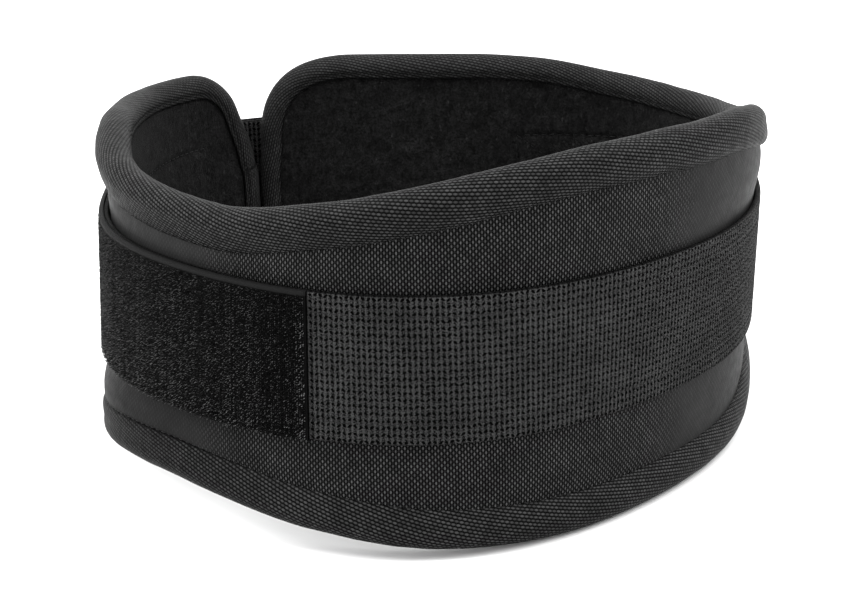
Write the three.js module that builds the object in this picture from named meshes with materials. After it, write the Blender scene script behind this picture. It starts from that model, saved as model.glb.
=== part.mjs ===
// A padded weightlifting belt, closed into a ring and standing on its lower edge.
// Millimetres, +Z up. The viewer stands at -Y, the pad's two ends meet at the far left.
//
// The belt is drawn as a flat pattern and wrapped round the ring: "along" is the distance along the
// webbing from the centre of the back, negative towards the left end, "out" is the distance outside
// the webbing's outer face, and "up" is the height above the floor.
import * as THREE from "three";

// The ring
const RING_RADIUS = 128.5;
const OPENING_ANGLE = 121;
const BACK_OFFSET = 15;
const END_GAP = 4.5;

// The pad's outline
const BACK_RISE = 67.5;
const BACK_DROP = 64.5;
const LEFT_CORNER_RADIUS = 34;
const RIGHT_CORNER_RADIUS = 34;

// Layers, from the outside in
const PANEL_THICKNESS = 1.4;
const WEBBING_THICKNESS = 2;
const COVER_THICKNESS = 1;
const FOAM_THICKNESS = 4.4;
const LINING_THICKNESS = 1;
const CLEARANCE = 0.3;

// The padded rim
const RIM_STANDS_OUTSIDE = 3.4;
const RIM_STANDS_INSIDE = 1.6;
const BINDING_THICKNESS = 1;
const BINDING_REACH_OUTSIDE = 14.4;
const BINDING_REACH_INSIDE = 10.5;
const COVER_TUCK = 3.6;
const LINING_TUCK = 1.6;
const PAD_CROWN = 1;
const CROWN_NEEDS = 12;

// The webbing, its hook panel and the clasp
const WEBBING_WIDTH = 50;
const PANEL_INSET = 1.2;
const PANEL_START = 124;
const PANEL_TO_END = 22;
const TAIL_OVERLAP = 80;
const BUCKLE_TO_END = 72;
const BUCKLE_BAR = 4;
const BUCKLE_PITCH = 12;
const BUCKLE_SIDE_ROOM = 1;
const BUCKLE_CORNER = 3.5;
const ANCHOR_OVERLAP = 26;
const ANCHOR_RAMP = 12;
const TIP_ROOM = 2;

// How finely the curves are drawn
const STATION_STEP = 15;
const CORNER_STEPS = 5;
const FOLD_STEPS = 6;
const BUCKLE_CORNER_STEPS = 3;
const WIRE_SIDES = 8;
const PLAN_STEPS = 720;

// The ring's plan is a circle pushed out and in by a few lobes. Swell is a share of the ring's
// radius, and toward is the direction in degrees in which a lobe points.
const PLAN_LOBES = [
  { lobes: 2, swell: 0.032, toward: 96 },
  { lobes: 3, swell: 0.058, toward: 24.5 },
  { lobes: 4, swell: 0.032, toward: 39.5 },
  { lobes: 5, swell: 0.025, toward: 52.5 },
];

// The wall leans outwards at the top by so much of its height, most in the named directions.
const WALL_LEAN = [
  { lobes: 1, lean: 0.03, toward: 2 },
  { lobes: 2, lean: 0.055, toward: -40 },
];

// The pad's edges on the way from the centre of the back, 0, to either end, 1: the top edge as
// shares of the back's rise above the middle of the webbing, the bottom edge of its drop below it.
const PAD_EDGES = [
  { way: 0, leftRise: 1, rightRise: 1, leftDrop: 1, rightDrop: 1 },
  { way: 0.06, leftRise: 1, rightRise: 0.983, leftDrop: 1, rightDrop: 1 },
  { way: 0.12, leftRise: 0.97, rightRise: 0.967, leftDrop: 0.983, rightDrop: 0.998 },
  { way: 0.2, leftRise: 0.882, rightRise: 0.9, leftDrop: 0.953, rightDrop: 0.97 },
  { way: 0.3, leftRise: 0.767, rightRise: 0.765, leftDrop: 0.884, rightDrop: 0.91 },
  { way: 0.4, leftRise: 0.683, rightRise: 0.645, leftDrop: 0.818, rightDrop: 0.84 },
  { way: 0.45, leftRise: 0.688, rightRise: 0.62, leftDrop: 0.805, rightDrop: 0.82 },
  { way: 0.5, leftRise: 0.7, rightRise: 0.612, leftDrop: 0.822, rightDrop: 0.83 },
  { way: 0.6, leftRise: 0.74, rightRise: 0.655, leftDrop: 0.908, rightDrop: 0.91 },
  { way: 0.7, leftRise: 0.78, rightRise: 0.738, leftDrop: 0.972, rightDrop: 0.975 },
  { way: 0.77, leftRise: 0.787, rightRise: 0.762, leftDrop: 1, rightDrop: 1 },
  { way: 0.88, leftRise: 0.726, rightRise: 0.762, leftDrop: 1, rightDrop: 1 },
  { way: 1, leftRise: 0.7, rightRise: 0.752, leftDrop: 0.985, rightDrop: 0.985 },
];

// The webbing lies flat on the pad and rises over the padded rim at both ends. Way is the distance
// from the end as a share of the binding's reach, lift a share of the height that clears the rim.
const RIM_CROSSING = [
  { way: 0, lift: 1 },
  { way: 1, lift: 1 },
  { way: 1.6, lift: 0.5 },
  { way: 2.5, lift: 0 },
];

// Shares of the rim's radius and of the pad's half height that shape the layers' edges.
const RIM_NOSE = 0.35;
const WEBBING_EDGE_LIMIT = 0.9;

// A gap across a sloping face is narrower than it is deep.
const SLOPE_ALLOWANCE = 1.3;

const TURN = 2 * Math.PI;
const radians = THREE.MathUtils.degToRad;

// Values that follow from the driving dimensions
const WEBBING_MIDDLE = BACK_DROP;
const COVER_OUT = -WEBBING_THICKNESS - CLEARANCE;
const FOAM_OUT = COVER_OUT - COVER_THICKNESS - CLEARANCE;
const LINING_OUT = FOAM_OUT - FOAM_THICKNESS - CLEARANCE;
const PAD_IN = LINING_OUT - LINING_THICKNESS;
const RIM_OUT = COVER_OUT + RIM_STANDS_OUTSIDE;
const RIM_IN = PAD_IN - RIM_STANDS_INSIDE;
const RIM_RADIUS = (RIM_OUT - RIM_IN) / 2;
const RIM_CENTRE = (RIM_OUT + RIM_IN) / 2;
const RIM_CLEARING = RIM_OUT + CLEARANCE + WEBBING_THICKNESS + CLEARANCE;
const COVER_EDGE = BINDING_REACH_OUTSIDE - COVER_TUCK;
const LINING_EDGE = BINDING_REACH_INSIDE - LINING_TUCK;
const TAIL_STANDS = PANEL_THICKNESS + WEBBING_THICKNESS + 2 * CLEARANCE;
const BAR_OUT = CLEARANCE + BUCKLE_BAR / 2;
const FOLD_OUT = BAR_OUT + BUCKLE_BAR / 2 + CLEARANCE + WEBBING_THICKNESS;
const DOUBLED_OUT = CLEARANCE + WEBBING_THICKNESS;

// Value of one column of a table at a place on the way, smooth and flat between equal rows.
function tableValue(rows, column, way) {
  const last = rows.length - 1;
  const at = THREE.MathUtils.clamp(way, rows[0].way, rows[last].way);
  let i = 0;
  while (i < last - 1 && rows[i + 1].way < at) i += 1;
  const rise = (k) => (rows[k + 1][column] - rows[k][column]) / (rows[k + 1].way - rows[k].way);
  const slope = (k) => {
    if (k === 0 || k === last) return 0;
    const before = rise(k - 1);
    const after = rise(k);
    return before * after > 0 ? (2 * before * after) / (before + after) : 0;
  };
  const span = rows[i + 1].way - rows[i].way;
  const t = (at - rows[i].way) / span;
  const start = rows[i][column] * (1 + 2 * t) + slope(i) * span * t;
  const end = rows[i + 1][column] * (3 - 2 * t) - slope(i + 1) * span * (1 - t);
  return start * (1 - t) * (1 - t) + end * t * t;
}

function planRadius(angle) {
  let share = 1;
  for (const { lobes, swell, toward } of PLAN_LOBES) {
    share += swell * Math.cos(lobes * (angle - radians(toward)));
  }
  return RING_RADIUS * share;
}

function planPoint(angle) {
  return new THREE.Vector2(Math.cos(angle), Math.sin(angle)).multiplyScalar(planRadius(angle));
}

function wallLean(angle) {
  let lean = 0;
  for (const row of WALL_LEAN) {
    lean += row.lean * Math.cos(row.lobes * (angle - radians(row.toward)));
  }
  return lean;
}

// Distance along the plan from the opening, counter-clockwise, at even steps of the angle.
const PLAN_LENGTHS = [0];
for (let i = 1; i <= PLAN_STEPS; i += 1) {
  const before = planPoint(radians(OPENING_ANGLE) + ((i - 1) * TURN) / PLAN_STEPS);
  const here = planPoint(radians(OPENING_ANGLE) + (i * TURN) / PLAN_STEPS);
  PLAN_LENGTHS.push(PLAN_LENGTHS[i - 1] + here.distanceTo(before));
}
const PERIMETER = PLAN_LENGTHS[PLAN_STEPS];
const LEFT_END = -PERIMETER / 2 - BACK_OFFSET + END_GAP / 2;
const RIGHT_END = PERIMETER / 2 - BACK_OFFSET - END_GAP / 2;
const TAIL_BAR = RIGHT_END - BUCKLE_TO_END;
const ANCHOR_BAR = TAIL_BAR - BUCKLE_PITCH;

function angleAt(along) {
  const distance = along + BACK_OFFSET + PERIMETER / 2;
  const wrapped = ((distance % PERIMETER) + PERIMETER) % PERIMETER;
  let i = 1;
  while (i < PLAN_STEPS && PLAN_LENGTHS[i] < wrapped) i += 1;
  const share = (wrapped - PLAN_LENGTHS[i - 1]) / (PLAN_LENGTHS[i] - PLAN_LENGTHS[i - 1]);
  return radians(OPENING_ANGLE) + ((i - 1 + share) * TURN) / PLAN_STEPS;
}

// The point of the wrapped belt for a place in the flat pattern.
function place(along, out, up) {
  const angle = angleAt(along);
  const here = planPoint(angle);
  const ahead = planPoint(angle + TURN / PLAN_STEPS).sub(planPoint(angle - TURN / PLAN_STEPS));
  ahead.normalize();
  const reach = out + wallLean(angle) * (up - WEBBING_MIDDLE);
  return new THREE.Vector3(here.x + ahead.y * reach, here.y - ahead.x * reach, up);
}

function padWay(along) {
  return along < 0 ? along / LEFT_END : along / RIGHT_END;
}

function padTop(along) {
  const column = along < 0 ? "leftRise" : "rightRise";
  return WEBBING_MIDDLE + BACK_RISE * tableValue(PAD_EDGES, column, padWay(along));
}

function padBottom(along) {
  const column = along < 0 ? "leftDrop" : "rightDrop";
  return WEBBING_MIDDLE - BACK_DROP * tableValue(PAD_EDGES, column, padWay(along));
}

// Places along the pad: close together round the corners and evenly spaced between them. Turn says
// how much of a corner's radius the edge has still to rise there.
function padStations() {
  const stations = [];
  for (let i = 0; i <= CORNER_STEPS; i += 1) {
    const angle = (i / CORNER_STEPS) * (Math.PI / 2);
    const along = LEFT_END + LEFT_CORNER_RADIUS * (1 - Math.cos(angle));
    stations.push({ along, turn: LEFT_CORNER_RADIUS * (1 - Math.sin(angle)) });
  }
  const from = LEFT_END + LEFT_CORNER_RADIUS;
  const to = RIGHT_END - RIGHT_CORNER_RADIUS;
  const count = Math.round((to - from) / STATION_STEP);
  for (let i = 1; i < count; i += 1) {
    stations.push({ along: from + ((to - from) * i) / count, turn: 0 });
  }
  for (let i = CORNER_STEPS; i >= 0; i -= 1) {
    const angle = (i / CORNER_STEPS) * (Math.PI / 2);
    const along = RIGHT_END - RIGHT_CORNER_RADIUS * (1 - Math.cos(angle));
    stations.push({ along, turn: RIGHT_CORNER_RADIUS * (1 - Math.sin(angle)) });
  }
  return stations;
}

const STATIONS = padStations();
const COUNT = STATIONS.length;

// The pad's outline as one closed loop in the flat pattern: the top edge from left to right, then
// the bottom edge from right to left, each point with its direction into the pad.
function padOutline() {
  const top = STATIONS.map(({ along, turn }) => new THREE.Vector2(along, padTop(along) - turn));
  const bottom = STATIONS.map(({ along, turn }) => new THREE.Vector2(along, padBottom(along) + turn));
  const points = [...top, ...bottom.reverse()];
  return points.map((point, i) => {
    const back = points.at(i - 1).clone().sub(point).negate();
    const ahead = points[(i + 1) % points.length].clone().sub(point);
    const backLength = back.length();
    const aheadLength = ahead.length();
    const tangent = back.multiplyScalar(aheadLength / backLength);
    tangent.add(ahead.multiplyScalar(backLength / aheadLength)).normalize();
    return { point, inward: new THREE.Vector2(tangent.y, -tangent.x) };
  });
}

const OUTLINE = padOutline();

// Collects the vertices and triangles of one closed solid.
class SolidBuilder {
  constructor() {
    this.positions = [];
    this.indices = [];
  }

  vertex(point) {
    this.positions.push(point.x, point.y, point.z);
    return this.positions.length / 3 - 1;
  }

  // Four corners in order, split from the first to the third or from the second to the fourth.
  quad(a, b, c, d, splitSecond = false) {
    if (splitSecond) this.indices.push(b, c, d, b, d, a);
    else this.indices.push(a, b, c, a, c, d);
  }

  // Joins two rows of vertices, as a closed band or an open one.
  band(rowA, rowB, closed, splitSecond = () => false) {
    const last = closed ? rowA.length : rowA.length - 1;
    for (let i = 0; i < last; i += 1) {
      const next = (i + 1) % rowA.length;
      this.quad(rowA[i], rowA[next], rowB[next], rowB[i], splitSecond(i));
    }
  }

  // Closes the pad's straight end: the end edge has no vertices between its two ends.
  fan(endRung, rung, reversed) {
    const first = endRung[0];
    const last = endRung.at(-1);
    const add = (a, b, c) => this.indices.push(...(reversed ? [a, c, b] : [a, b, c]));
    for (let i = 0; i < rung.length - 1; i += 1) add(first, rung[i + 1], rung[i]);
    add(first, last, rung.at(-1));
  }

  geometry() {
    const geometry = new THREE.BufferGeometry();
    geometry.setAttribute("position", new THREE.Float32BufferAttribute(this.positions, 3));
    geometry.setIndex(this.indices);
    geometry.computeVertexNormals();
    return geometry;
  }
}

// A loop of vertices that follows the pad's outline at one inset and one distance outwards.
function outlineLoop(solid, { inset, out }) {
  return OUTLINE.map(({ point, inward }) => {
    const along = point.x + inward.x * inset;
    const up = point.y + inward.y * inset;
    return solid.vertex(place(along, out, up));
  });
}

// Fills a loop with rungs from the top edge to the bottom edge. The rows between a rung's two ends
// come from a function of those ends. Both faces of a layer are split along the same diagonals.
function fillLoop(solid, loop, inset, rows, facesOut) {
  const rungs = [];
  for (let i = 0; i < COUNT; i += 1) {
    const top = OUTLINE[i];
    const bottom = OUTLINE[2 * COUNT - 1 - i];
    const from = top.point.clone().addScaledVector(top.inward, inset);
    const to = bottom.point.clone().addScaledVector(bottom.inward, inset);
    const atEnd = i === 0 || i === COUNT - 1;
    const between = (atEnd ? [] : rows(from, to)).map(({ share, out }) => {
      const point = from.clone().lerp(to, share);
      return solid.vertex(place(point.x, out, point.y));
    });
    rungs.push([loop[i], ...between, loop[2 * COUNT - 1 - i]]);
  }
  for (let i = 1; i < COUNT - 2; i += 1) {
    if (facesOut) solid.band(rungs[i], rungs[i + 1], false);
    else solid.band(rungs[i + 1], rungs[i], false, () => true);
  }
  solid.fan(rungs[0], rungs[1], !facesOut);
  solid.fan(rungs.at(-1), rungs.at(-2), facesOut);
}

const noRows = () => [];

// A closed solid whose edge follows the pad's outline. The profile runs from the outer face round
// the edge to the inner face.
function padSolid(profile, outerRows) {
  const solid = new SolidBuilder();
  const loops = profile.map((row) => outlineLoop(solid, row));
  for (let i = 0; i < loops.length - 1; i += 1) solid.band(loops[i], loops[i + 1], true);
  fillLoop(solid, loops[0], profile[0].inset, outerRows, true);
  fillLoop(solid, loops.at(-1), profile.at(-1).inset, noRows, false);
  return solid.geometry();
}

// The rows of the cover's outer face: it is drawn in under the webbing and stands a little proud
// between the webbing and the binding.
function crownRows(from, to) {
  const half = WEBBING_WIDTH / 2;
  const rows = [];
  for (const side of [1, -1]) {
    const reach = side > 0 ? from.y - WEBBING_MIDDLE : WEBBING_MIDDLE - to.y;
    const webbingEdge = Math.min(half + PAD_CROWN, reach * WEBBING_EDGE_LIMIT);
    const crest = (reach + webbingEdge) / 2;
    const fullness = THREE.MathUtils.clamp((reach - half) / CROWN_NEEDS, 0, 1);
    rows.push({ up: WEBBING_MIDDLE + side * crest, out: COVER_OUT + PAD_CROWN * fullness });
    rows.push({ up: WEBBING_MIDDLE + side * webbingEdge, out: COVER_OUT });
  }
  rows.sort((a, b) => b.up - a.up);
  return rows.map(({ up, out }) => ({ share: (up - from.y) / (to.y - from.y), out }));
}

function outerCover() {
  const profile = [
    { inset: BINDING_REACH_OUTSIDE + CLEARANCE, out: COVER_OUT },
    { inset: COVER_EDGE, out: COVER_OUT },
    { inset: COVER_EDGE, out: COVER_OUT - COVER_THICKNESS },
  ];
  return padSolid(profile, crownRows);
}

function lining() {
  const profile = [
    { inset: LINING_EDGE, out: LINING_OUT },
    { inset: LINING_EDGE, out: PAD_IN },
  ];
  return padSolid(profile, noRows);
}

// The foam ends in a bead that fills the padded rim.
function foamCore() {
  const bead = RIM_RADIUS - BINDING_THICKNESS - SLOPE_ALLOWANCE * CLEARANCE;
  const nose = RIM_NOSE * RIM_RADIUS - CLEARANCE;
  const front = BINDING_THICKNESS + CLEARANCE;
  const profile = [
    { inset: COVER_EDGE - CLEARANCE, out: FOAM_OUT },
    { inset: RIM_RADIUS, out: RIM_CENTRE + bead },
    { inset: front, out: RIM_CENTRE + nose },
    { inset: front, out: RIM_CENTRE - nose },
    { inset: RIM_RADIUS, out: RIM_CENTRE - bead },
    { inset: LINING_EDGE - CLEARANCE, out: FOAM_OUT - FOAM_THICKNESS },
  ];
  return padSolid(profile, noRows);
}

// The binding is folded over the edge of the pad: an eight-sided bead with a leg on either face.
function edgeBinding() {
  const flat = RIM_RADIUS * Math.tan(Math.PI / 8);
  const hollow = RIM_RADIUS - BINDING_THICKNESS;
  const nose = RIM_NOSE * RIM_RADIUS;
  const legOut = COVER_OUT + CLEARANCE;
  const legIn = PAD_IN - CLEARANCE;
  const contour = [
    { inset: BINDING_REACH_OUTSIDE, out: legOut + BINDING_THICKNESS },
    { inset: COVER_EDGE + BINDING_THICKNESS, out: legOut + BINDING_THICKNESS },
    { inset: RIM_RADIUS + flat, out: RIM_OUT },
    { inset: RIM_RADIUS - flat, out: RIM_OUT },
    { inset: 0, out: RIM_CENTRE + flat },
    { inset: 0, out: RIM_CENTRE - flat },
    { inset: RIM_RADIUS - flat, out: RIM_IN },
    { inset: BINDING_REACH_INSIDE, out: legIn - BINDING_THICKNESS },
    { inset: BINDING_REACH_INSIDE, out: legIn },
    { inset: RIM_RADIUS, out: RIM_CENTRE - hollow },
    { inset: BINDING_THICKNESS, out: RIM_CENTRE - nose },
    { inset: BINDING_THICKNESS, out: RIM_CENTRE + nose },
    { inset: RIM_RADIUS, out: RIM_CENTRE + hollow },
    { inset: COVER_EDGE, out: legOut },
    { inset: BINDING_REACH_OUTSIDE, out: legOut },
  ];
  const solid = new SolidBuilder();
  const loops = contour.map((row) => outlineLoop(solid, row));
  loops.forEach((loop, i) => solid.band(loop, loops[(i + 1) % loops.length], true));
  return solid.geometry();
}

// A flat band that follows the middle of its thickness through the flat pattern. Its front face is
// on the right-hand side of a path that heads towards the left end, which is the belt's outside.
function ribbon(path, width, thickness) {
  const solid = new SolidBuilder();
  const high = WEBBING_MIDDLE + width / 2;
  const low = WEBBING_MIDDLE - width / 2;
  const rings = path.map((point, i) => {
    const back = point.clone().sub(path[Math.max(i - 1, 0)]).normalize();
    const ahead = path[Math.min(i + 1, path.length - 1)].clone().sub(point).normalize();
    const heading = back.add(ahead).normalize();
    const side = new THREE.Vector2(heading.y, -heading.x).multiplyScalar(thickness / 2);
    return [
      solid.vertex(place(point.x + side.x, point.y + side.y, high)),
      solid.vertex(place(point.x + side.x, point.y + side.y, low)),
      solid.vertex(place(point.x - side.x, point.y - side.y, low)),
      solid.vertex(place(point.x - side.x, point.y - side.y, high)),
    ];
  });
  const backFace = 2;
  for (let i = 0; i < rings.length - 1; i += 1) {
    solid.band(rings[i + 1], rings[i], true, (face) => face === backFace);
  }
  const first = rings[0];
  const last = rings.at(-1);
  solid.quad(first[0], first[1], first[2], first[3]);
  solid.quad(last[3], last[2], last[1], last[0]);
  return solid.geometry();
}

// Places of the pad's stations between two distances, from the higher to the lower. Distances below
// the left end run on over the opening to the right end.
function stationsDown(from, to) {
  const once = STATIONS.map(({ along }) => along);
  const again = once.map((along) => along - PERIMETER);
  return [...once, ...again].filter((along) => along < from && along > to).sort((a, b) => b - a);
}

// The distance outwards of the webbing's outer face where it runs once round the pad.
function webbingOut(along) {
  const onRight = along < LEFT_END ? along + PERIMETER : along;
  const toEnd = Math.max(0, Math.min(Math.abs(along - LEFT_END), RIGHT_END - onRight));
  const overOpening = along < LEFT_END && onRight > RIGHT_END;
  const way = overOpening ? 0 : toEnd / BINDING_REACH_OUTSIDE;
  return RIM_CLEARING * tableValue(RIM_CROSSING, "lift", way);
}

// The webbing's turn round one bar of the clasp, from the side next to the pad to the far side. It
// bulges towards the other bar.
function foldRoundBar(bar, bulge) {
  const radius = BUCKLE_BAR / 2 + CLEARANCE + WEBBING_THICKNESS / 2;
  const points = [];
  for (let i = 0; i <= FOLD_STEPS; i += 1) {
    const angle = (Math.PI * i) / FOLD_STEPS - Math.PI / 2;
    const along = bar + bulge * radius * Math.cos(angle);
    points.push(new THREE.Vector2(along, BAR_OUT + radius * Math.sin(angle)));
  }
  return points;
}

// The straight line through a few knots, read at one place.
function onLine(knots, along) {
  let i = 0;
  while (i < knots.length - 2 && knots[i + 1].x > along) i += 1;
  const share = (along - knots[i].x) / (knots[i + 1].x - knots[i].x);
  return THREE.MathUtils.lerp(knots[i].y, knots[i + 1].y, THREE.MathUtils.clamp(share, 0, 1));
}

// One length of webbing: the sewn end under the anchor bar, the turn round that bar, once round the
// belt, the turn round the tail bar and back over the opening to the tail's tip.
function webbingStrap() {
  const half = WEBBING_THICKNESS / 2;
  const sewnTip = ANCHOR_BAR - ANCHOR_OVERLAP;
  const knots = [
    new THREE.Vector2(ANCHOR_BAR, FOLD_OUT),
    new THREE.Vector2(ANCHOR_BAR - ANCHOR_RAMP, DOUBLED_OUT),
    new THREE.Vector2(sewnTip - TIP_ROOM, DOUBLED_OUT),
    new THREE.Vector2(sewnTip - TIP_ROOM - ANCHOR_RAMP, 0),
  ];
  const sewn = stationsDown(ANCHOR_BAR, sewnTip).reverse();
  const path = [sewnTip, ...sewn].map((along) => new THREE.Vector2(along, -half));
  path.push(...foldRoundBar(ANCHOR_BAR, 1));

  const leaves = knots.at(-1).x;
  const rising = [...stationsDown(ANCHOR_BAR, leaves), ...knots.slice(1).map(({ x }) => x)];
  rising.sort((a, b) => b - a);
  for (const along of rising) path.push(new THREE.Vector2(along, onLine(knots, along) - half));

  const tailBar = TAIL_BAR - PERIMETER;
  for (const along of stationsDown(leaves, tailBar)) {
    path.push(new THREE.Vector2(along, webbingOut(along) - half));
  }
  path.push(...foldRoundBar(tailBar, -1));

  const tailTip = LEFT_END + TAIL_OVERLAP;
  for (const along of [tailTip, ...stationsDown(tailTip, tailBar)].reverse()) {
    const clear = webbingOut(along) + TAIL_STANDS;
    const out = along < LEFT_END ? Math.max(clear, FOLD_OUT) : clear;
    path.push(new THREE.Vector2(along, out - half));
  }
  return ribbon(path, WEBBING_WIDTH, WEBBING_THICKNESS);
}

function hookPanel() {
  const from = -PANEL_START;
  const to = LEFT_END + PANEL_TO_END;
  const path = [from, ...stationsDown(from, to), to].map((along) => {
    const out = webbingOut(along) + CLEARANCE + PANEL_THICKNESS / 2;
    return new THREE.Vector2(along, out);
  });
  return ribbon(path, WEBBING_WIDTH - 2 * PANEL_INSET, PANEL_THICKNESS);
}

// The clasp is a plain rectangular loop of round wire that lies along the wall.
function buckleLoop() {
  const solid = new SolidBuilder();
  const wire = BUCKLE_BAR / 2;
  const halfHeight = WEBBING_WIDTH / 2 + BUCKLE_SIDE_ROOM + wire;
  const middle = (ANCHOR_BAR + TAIL_BAR) / 2;
  const rings = [];
  for (let corner = 0; corner < 4; corner += 1) {
    const start = (corner * Math.PI) / 2;
    const diagonal = start + Math.PI / 4;
    const cornerAlong = Math.sign(Math.cos(diagonal)) * (BUCKLE_PITCH / 2 - BUCKLE_CORNER);
    const cornerUp = Math.sign(Math.sin(diagonal)) * (halfHeight - BUCKLE_CORNER);
    for (let step = 0; step <= BUCKLE_CORNER_STEPS; step += 1) {
      const angle = start + ((Math.PI / 2) * step) / BUCKLE_CORNER_STEPS;
      const ring = [];
      for (let side = 0; side < WIRE_SIDES; side += 1) {
        const turn = (side * TURN) / WIRE_SIDES;
        const reach = BUCKLE_CORNER + wire * Math.cos(turn);
        const along = middle + cornerAlong + reach * Math.cos(angle);
        const up = WEBBING_MIDDLE + cornerUp + reach * Math.sin(angle);
        ring.push(solid.vertex(place(along, BAR_OUT + wire * Math.sin(turn), up)));
      }
      rings.push(ring);
    }
  }
  rings.forEach((ring, i) => solid.band(rings[(i + 1) % rings.length], ring, true));
  return solid.geometry();
}

function piece(name, geometry, color, roughness, metalness = 0) {
  const material = new THREE.MeshStandardMaterial({ color, roughness, metalness });
  const mesh = new THREE.Mesh(geometry, material);
  mesh.name = name;
  return mesh;
}

const belt = new THREE.Group();
belt.add(
  piece("outer_cover", outerCover(), 0x262628, 0.6),
  piece("foam_core", foamCore(), 0x1c1c1e, 0.95),
  piece("lining", lining(), 0x171718, 0.98),
  piece("edge_binding", edgeBinding(), 0x2c2c2f, 0.7),
  piece("webbing_strap", webbingStrap(), 0x2a2a2d, 0.65),
  piece("hook_panel", hookPanel(), 0x161617, 0.85),
  piece("buckle_loop", buckleLoop(), 0x8c8c90, 0.35, 1),
);

// The origin is on the floor under the middle of the belt's box.
const middle = new THREE.Box3().setFromObject(belt).getCenter(new THREE.Vector3());
belt.position.set(-middle.x, -middle.y, 0);

export default belt;
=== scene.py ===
"""A padded weightlifting belt, closed into a ring and standing on its lower edge.

Every cloth layer is drawn in the belt's flat pattern and wrapped round the ring as the part itself is:
along is the distance along the webbing from the centre of the back, out the distance outside the
webbing's outer face and up the height above the floor. Lengths are millimetres until a mesh is made.
"""

import math

import bpy
import numpy as np
from mathutils import Matrix, Vector


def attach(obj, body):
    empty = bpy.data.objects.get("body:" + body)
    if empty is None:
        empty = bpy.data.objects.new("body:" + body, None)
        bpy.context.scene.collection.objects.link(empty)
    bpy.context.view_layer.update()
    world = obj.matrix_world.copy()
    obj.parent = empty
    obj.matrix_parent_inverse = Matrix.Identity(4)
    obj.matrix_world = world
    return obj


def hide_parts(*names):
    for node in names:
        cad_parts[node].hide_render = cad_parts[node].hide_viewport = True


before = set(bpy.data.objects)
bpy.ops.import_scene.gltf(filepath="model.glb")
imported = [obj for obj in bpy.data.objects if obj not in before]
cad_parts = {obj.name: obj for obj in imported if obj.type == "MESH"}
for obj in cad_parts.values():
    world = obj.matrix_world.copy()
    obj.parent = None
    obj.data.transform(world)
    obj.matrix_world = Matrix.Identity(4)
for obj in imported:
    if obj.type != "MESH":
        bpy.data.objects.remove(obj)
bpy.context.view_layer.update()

MM = 0.001
TURN = 2 * math.pi

# The ring, as in the part
RING_CENTRE = (-1.991, 4.498)
RING_RADIUS = 128.5
OPENING_ANGLE = 121
BACK_OFFSET = 15
END_GAP = 4.5
PLAN_LOBES = ((2, 0.032, 96), (3, 0.058, 24.5), (4, 0.032, 39.5), (5, 0.025, 52.5))
WALL_LEAN = ((1, 0.03, 2), (2, 0.055, -40))
PLAN_STEPS = 2880
NORMAL_STEP = TURN / 720

# The pad's outline: shares of the back's rise and drop on the way to either end
BACK_RISE = 67.5
BACK_DROP = 64.5
LEFT_CORNER = {"rise": (28.6, 39.3, 2.1), "drop": (34, 34, 2)}
RIGHT_CORNER = {"rise": (47, 39.3, 2.6), "drop": (34, 34, 2)}
PAD_WAY = (0, 0.06, 0.12, 0.2, 0.3, 0.4, 0.45, 0.5, 0.6, 0.7, 0.77, 0.88, 1)
PAD_EDGES = {
    "left_rise": (1, 1, 0.97, 0.882, 0.767, 0.683, 0.688, 0.7, 0.741, 0.803, 0.766, 0.726, 0.703),
    "right_rise": (1, 0.983, 0.967, 0.9, 0.765, 0.645, 0.62, 0.612, 0.655, 0.744, 0.771, 0.767, 0.768),
    "left_drop": (1, 1, 0.99, 0.966, 0.892, 0.818, 0.803, 0.815, 0.895, 0.972, 1, 1, 0.985),
    "right_drop": (1, 1, 1, 0.98, 0.92, 0.84, 0.82, 0.83, 0.91, 0.975, 1, 1, 0.985),
}

# Layers and rim
WEBBING_THICKNESS = 2
PANEL_THICKNESS = 1.4
COVER_THICKNESS = 1
FOAM_THICKNESS = 4.4
LINING_THICKNESS = 1
CLEARANCE = 0.3
RIM_STANDS_OUTSIDE = 3.4
RIM_STANDS_INSIDE = 1.6
BINDING_THICKNESS = 1
BINDING_REACH_OUTSIDE = 14.4
BINDING_REACH_INSIDE = 9.4
COVER_TUCK = 3.6
LINING_TUCK = 1.6
PAD_CROWN = 0.45
CROWN_NEEDS = 12

# The pad's two ends, drawn together
MEETING_HEIGHT = 80
LEFT_CLOSES = 2.5
RIGHT_CLOSES = 1.5
LEFT_BACK = 1.4
CLOSING_RISE = 14
BACK_ABOVE = 12
BACK_REACH = 9
END_REACH = 16

# Webbing, hook tape and clasp
WEBBING_WIDTH = 50
PANEL_TO_END = 22
TAIL_OVERLAP = 80
BUCKLE_TO_END = 72
BUCKLE_BAR = 4
BUCKLE_PITCH = 12
BUCKLE_SIDE_ROOM = 1
BUCKLE_CORNER = 3.5
ANCHOR_OVERLAP = 26
ANCHOR_RAMP = 12
TIP_ROOM = 2
RIM_CROSSING = {"way": (0, 1, 1.6, 2.5), "lift": (1, 1, 0.5, 0)}

# Values that follow
WEBBING_MIDDLE = BACK_DROP
COVER_OUT = -WEBBING_THICKNESS - CLEARANCE
FOAM_OUT = COVER_OUT - COVER_THICKNESS - CLEARANCE
LINING_OUT = FOAM_OUT - FOAM_THICKNESS - CLEARANCE
PAD_IN = LINING_OUT - LINING_THICKNESS
RIM_OUT = COVER_OUT + RIM_STANDS_OUTSIDE
RIM_IN = PAD_IN - RIM_STANDS_INSIDE
RIM_RADIUS = (RIM_OUT - RIM_IN) / 2
RIM_CENTRE = (RIM_OUT + RIM_IN) / 2
RIM_CLEARING = RIM_OUT + WEBBING_THICKNESS + 2 * CLEARANCE
COVER_EDGE = BINDING_REACH_OUTSIDE - COVER_TUCK
LINING_EDGE = BINDING_REACH_INSIDE - LINING_TUCK
TAIL_STANDS = PANEL_THICKNESS + WEBBING_THICKNESS + 2 * CLEARANCE
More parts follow.
